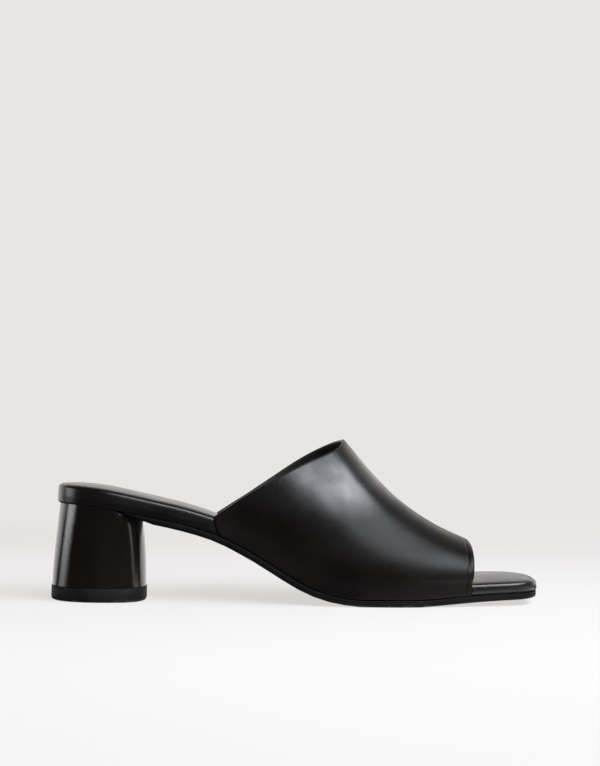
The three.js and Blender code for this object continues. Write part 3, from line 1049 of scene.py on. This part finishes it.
@dataclass
class Heel:
    """The block heel in its leather cover, and the rubber top piece under it."""

    cover: Leather = Leather(
        "heel_leather",
        gloss_low=0.08,
        gloss_high=0.12,
        specular=0.85,
        grain_depth=0.01 * MM,
        dust_top=10 * MM,
        dust_amount=0.1,
    )
    rubber: Matt = Matt(
        "top_piece_rubber",
        deep=(0.0055, 0.0049, 0.0044),
        pale=(0.0105, 0.0095, 0.0087),
        gloss_low=0.6,
        gloss_high=0.75,
        specks=2200.0,
        speck_depth=0.05 * MM,
        dust_top=2.0 * MM,
        dust_amount=0.3,
        specular=0.12,
    )

    def build(self) -> list[bpy.types.Object]:
        """Builds the two pieces.

        Returns:
            The heel block and its top piece.
        """
        block = Plain(
            "heel_block",
            "heel_covered",
            Slot.SMOOTH,
            self.cover,
            smooth_angle=math.radians(18),
            glued=Glued.ON_TOP,
            glued_slope=0.142,
        )
        tread = Plain(
            "heel_top_piece",
            "top_piece_dressed",
            Slot.RUBBER,
            self.rubber,
            radius=0.2 * MM,
            cap_inset=0.8 * MM,
        )
        return [piece.build() for piece in (block, tread)]


@dataclass(frozen=True)
class Softbox:
    """An area light that looks at the shoe. Its place is given by its direction from the shoe.

    azimuth is 0 towards the camera and 90 to the toe's side; elevation is above the floor. Both
    are in degrees, and power is in watts.
    """

    name: str
    azimuth: float
    elevation: float
    width: float
    height: float
    power: float
    color: Color = (1.0, 1.0, 1.0)
    distance: float = 1.2

    def build(self, aim: Vector) -> None:
        """Builds the light.

        Args:
            aim: the point that it looks at.
        """
        around, up = math.radians(self.azimuth), math.radians(self.elevation)
        level = math.cos(up)
        away = Vector((math.sin(around) * level, -math.cos(around) * level, math.sin(up)))
        data = bpy.data.lights.new(self.name, "AREA")
        data.shape = "RECTANGLE"
        data.size, data.size_y = self.width, self.height
        data.energy = self.power
        data.color = self.color
        light = bpy.data.objects.new(self.name, data)
        light.location = aim + away * self.distance
        light.rotation_euler = away.to_track_quat("Z", "Y").to_euler()
        light.visible_camera = False
        bpy.context.scene.collection.objects.link(light)


WINDOW_LIGHT: Color = (0.88, 0.93, 1.0)


@dataclass
class Studio:
    """Plain pale floor, soft light and the camera of the photograph.

    The floor's fade is a distance from the heel. The other spans are of a direction's share along
    one axis: below 0 towards the camera or down, above 0 away from it or up. The camera's clip is
    a distance from it. Angles are in degrees, lens and sensor in millimetres.
    """

    aim: Point = (0.11, 0.0, 0.04)
    backdrop_color: Color = (0.805, 0.785, 0.77)
    floor_size: float = 30.0
    floor_fade: Span = (0.2, 0.9)
    floor_albedo: float = 0.3
    floor_roughness: float = 0.9
    floor_glow: float = 0.8
    # painted reflection: how bright the floor shows to mirror rays, dark in front of the shoe and
    # brighter than seen elsewhere
    floor_mirrored: float = 0.03
    floor_mirrored_bright: float = 1.5
    floor_turn: float = 0.12
    front_ends: Span = (-0.26, -0.2)
    gap_starts: Span = (0.15, 0.2)
    back_starts: Span = (0.42, 0.52)
    surround: float = 0.05
    behind: float = 1.4
    behind_high: float = 0.35
    behind_span: Span = (0.42, 0.6)
    high_span: Span = (0.15, 0.55)
    camera_place: Point = (0.0376, -1.0442, 0.103)
    camera_pitch: float = 0.376
    camera_turn: float = -3.5
    camera_roll: float = 0.6
    camera_clip: Span = (0.05, 50.0)
    focal_length: float = 96.63
    sensor: float = 36.0
    lights: tuple[Softbox, ...] = (
        Softbox(
            "near_window",
            azimuth=25,
            elevation=33,
            width=1.15,
            height=0.6,
            power=18.0,
            color=WINDOW_LIGHT,
        ),
        Softbox(
            "toe_window",
            azimuth=68,
            elevation=46,
            width=0.9,
            height=0.5,
            power=12.2,
            color=WINDOW_LIGHT,
        ),
        Softbox("heel_strip", azimuth=-95.5, elevation=8, width=0.48, height=0.4, power=2.0),
    )

    def camera(self) -> None:
        """Builds the camera at the photograph's angle to the shoe."""
        data = bpy.data.cameras.new("photo_camera")
        data.lens = self.focal_length
        data.sensor_width = self.sensor
        data.clip_start, data.clip_end = self.camera_clip
        camera = bpy.data.objects.new("photo_camera", data)
        turn = Matrix.Rotation(math.radians(self.camera_turn), 4, "Z")
        pitch = Matrix.Rotation(math.radians(90 + self.camera_pitch), 4, "X")
        roll = Matrix.Rotation(math.radians(self.camera_roll), 4, "Z")
        camera.matrix_world = Matrix.Translation(self.camera_place) @ turn @ pitch @ roll
        bpy.context.scene.collection.objects.link(camera)
        bpy.context.scene.camera = camera

    def world(self) -> None:
        """Builds the surroundings: pale behind the shoe, dim before it, plain where they are seen."""
        world = bpy.data.worlds.new("studio_world")
        world.use_nodes = True
        bpy.context.scene.world = world
        graph = Graph(world.node_tree)
        world.node_tree.nodes.clear()
        way = graph.add("SeparateXYZ", Vector=graph.add("TexCoord").outputs["Generated"])
        high = graph.span(way.outputs["Z"], *self.high_span, self.behind, self.behind_high)
        back = graph.span(way.outputs["Y"], *self.behind_span, self.surround, high)
        seen = graph.add("LightPath").outputs["Is Camera Ray"]
        strength = graph.span(seen, 0.0, 1.0, back, 1.0)
        light = graph.add("Background", Color=self.backdrop_color, Strength=strength)
        graph.put(graph.add("OutputWorld").inputs["Surface"], light.outputs[0])

    def _floor_shown(
        self, graph: Graph, place: bpy.types.NodeSocket, reach: bpy.types.NodeSocket
    ) -> bpy.types.NodeSocket:
        """Works out how bright the floor shows: fully, except where the shoe mirrors it.

        Painted reflection: to mirror rays the floor is dark in front of the shoe and in a gap behind it,
        as the photograph's dark lines on the heel and on the footbed's edge ask, and brighter than
        the seen floor at its sides and further behind.

        Args:
            graph: the material's graph.
            place: the object coordinates.
            reach: how far each place is from the heel.

        Returns:
            The brightness.
        """
        spot = graph.add("SeparateXYZ", Vector=place)
        aside = graph.math("MULTIPLY", spot.outputs["X"], self.floor_turn)
        way = graph.math("DIVIDE", graph.math("ADD", spot.outputs["Y"], aside), reach)
        sides = graph.math(
            "MULTIPLY",
            graph.span(way, *self.front_ends),
            graph.span(way, *self.gap_starts, 1.0, 0.0),
        )
        bright = graph.math("MAXIMUM", sides, graph.span(way, *self.back_starts))
        # Painted reflection: mirror rays see the floor darker or brighter than the camera does.
        lit = graph.span(bright, 0.0, 1.0, self.floor_mirrored, self.floor_mirrored_bright)
        mirrored = graph.add("LightPath").outputs["Is Glossy Ray"]
        return graph.span(mirrored, 0.0, 1.0, 1.0, lit)

    def _floor_paper(self) -> bpy.types.Material:
        """Makes the floor's material, which turns into the plain backdrop further out.

        Returns:
            The new material.
        """
        material, graph, paper, place = new_material("floor_paper")
        reach = graph.length(place)
        far = graph.span(reach, *self.floor_fade)
        shown = self._floor_shown(graph, place, reach)
        glow = graph.math("MULTIPLY", graph.span(far, 0.0, 1.0, self.floor_glow, 1.0), shown)
        paper_color = tuple(self.floor_albedo * c for c in self.backdrop_color)
        graph.put(paper.inputs["Roughness"], self.floor_roughness)
        graph.put(paper.inputs["Specular IOR Level"], 0.0)
        # Painted reflection: the paper's colour follows the same mirrored brightness.
        graph.put(paper.inputs["Base Color"], graph.mix(shown, BLACK, paper_color))
        graph.put(paper.inputs["Emission Color"], self.backdrop_color)
        graph.put(paper.inputs["Emission Strength"], glow)
        plain = graph.add("Emission", Color=self.backdrop_color, Strength=glow)
        both = graph.add("MixShader")
        for socket, value in zip(both.inputs, (far, paper.outputs[0], plain.outputs[0])):
            graph.put(socket, value)
        output = material.node_tree.nodes["Material Output"]
        graph.put(output.inputs["Surface"], both.outputs[0])
        return material

    def floor(self) -> None:
        """Builds the floor."""
        made = bmesh.new()
        bmesh.ops.create_grid(made, x_segments=1, y_segments=1, size=self.floor_size / 2)
        data = bpy.data.meshes.new("studio_floor")
        made.to_mesh(data)
        made.free()
        data.materials.append(self._floor_paper())
        floor = bpy.data.objects.new("studio_floor", data)
        bpy.context.scene.collection.objects.link(floor)

    def build(self) -> None:
        """Builds the camera, the surroundings, the floor and the lights."""
        view = bpy.context.scene.view_settings
        view.view_transform = "Standard"
        view.look = "None"
        self.camera()
        self.world()
        self.floor()
        for light in self.lights:
            light.build(Vector(self.aim))


def main() -> None:
    """Builds the studio and the shoe in order."""
    logging.basicConfig(level=logging.INFO, format="%(name)s %(message)s")
    Studio().build()
    log.info("studio ready")
    Upper().build()
    Sole().build()
    Heel().build()


if __name__ == "__main__":
    main()
